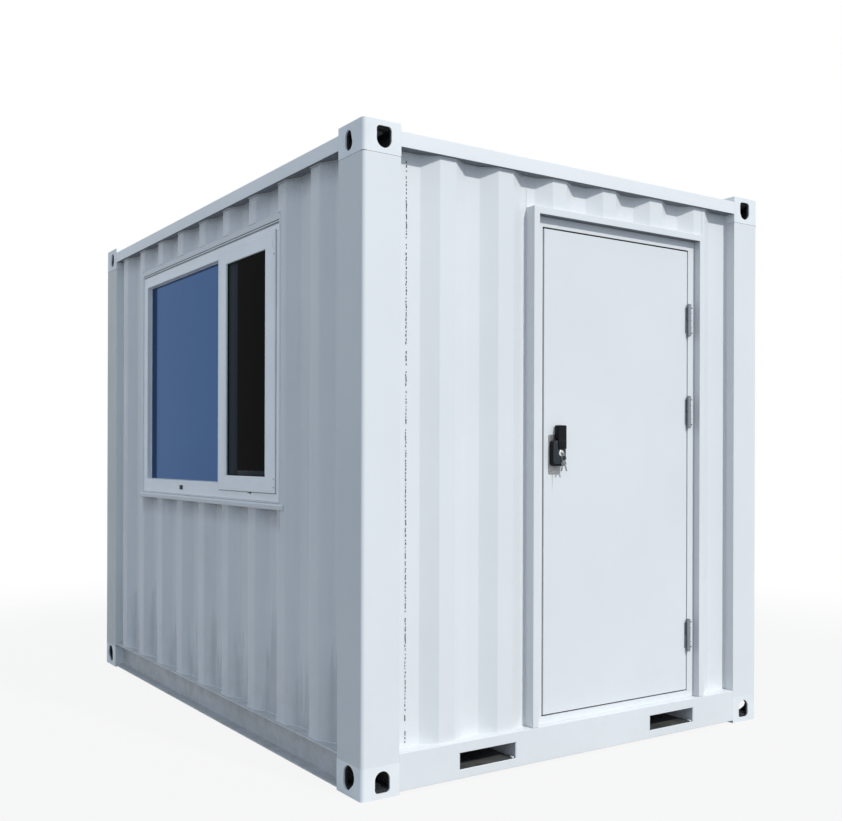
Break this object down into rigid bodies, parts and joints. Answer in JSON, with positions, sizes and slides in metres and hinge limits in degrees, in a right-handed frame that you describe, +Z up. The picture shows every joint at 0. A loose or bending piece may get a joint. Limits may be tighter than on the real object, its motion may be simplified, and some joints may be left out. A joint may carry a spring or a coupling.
{
  "type": "container office",
  "caption": "White steel container office with corrugated walls, corner castings, a plain outward door, a wide two-light window and fork pockets.",
  "frame": {"origin": "middle of the footprint, at the level of the four casting feet", "axes": "+Z up, +Y from the door face to the back wall along the longer side, +X to the right of someone who faces the door"},
  "size_m": [2.156, 2.991, 2.438],
  "materials": {
    "white_paint": "satin",
    "window_white": "satin",
    "blue_glass": "polished",
    "dark_glass": "polished",
    "lining_board": "matt",
    "floor_board": "matt",
    "black_plastic": "matt",
    "plain_steel": "brushed"
  },
  "bodies": {
    "building": {"back_bottom_rail": "white_paint", "back_left_bottom_casting": "white_paint", "back_left_post": "white_paint", "back_left_top_casting": "white_paint", "back_right_bottom_casting": "white_paint", "back_right_post": "white_paint", "back_right_top_casting": "white_paint", "back_top_rail": "white_paint", "back_wall": "white_paint", "ceiling_lining": "lining_board", "door_frame": "white_paint", "door_rebate": "white_paint", "door_sill": "white_paint", "floor_deck": "floor_board", "floor_joists": "white_paint", "fork_pocket_floors": "white_paint", "fork_pocket_roofs": "white_paint", "fork_pocket_sides": "white_paint", "front_bottom_rail": "white_paint", "front_left_bottom_casting": "white_paint", "front_left_post": "white_paint", "front_left_top_casting": "white_paint", "front_right_bottom_casting": "white_paint", "front_right_post": "white_paint", "front_right_top_casting": "white_paint", "front_top_rail": "white_paint", "front_wall_left": "white_paint", "front_wall_over_door": "white_paint", "front_wall_right": "white_paint", "hinge_frame_halves": "white_paint", "left_bottom_rail": "white_paint", "left_top_rail": "white_paint", "left_wall_back": "white_paint", "left_wall_front": "white_paint", "left_wall_over_window": "white_paint", "left_wall_under_window": "white_paint", "right_bottom_rail": "white_paint", "right_top_rail": "white_paint", "right_wall": "white_paint", "roof": "white_paint", "sash_glass": "dark_glass", "wall_linings": "lining_board", "window_frame": "window_white", "window_glass": "blue_glass", "window_sash": "window_white", "window_sill": "white_paint", "window_surround": "white_paint"},
    "door": {"door_leaf": "white_paint", "hinge_leaf_halves": "white_paint", "lock_plate": "plain_steel", "lock_cup": "black_plastic", "lock_case": "black_plastic", "lock_barrel": "plain_steel"}
  },
  "joints": [
    {"name": "door_hinge", "type": "hinge", "parent": "building", "child": "door", "pos_m": [0.6395, -1.4725, 1.433], "axis": [0, 0, 1], "range_deg": [0, 135]}
  ]
}
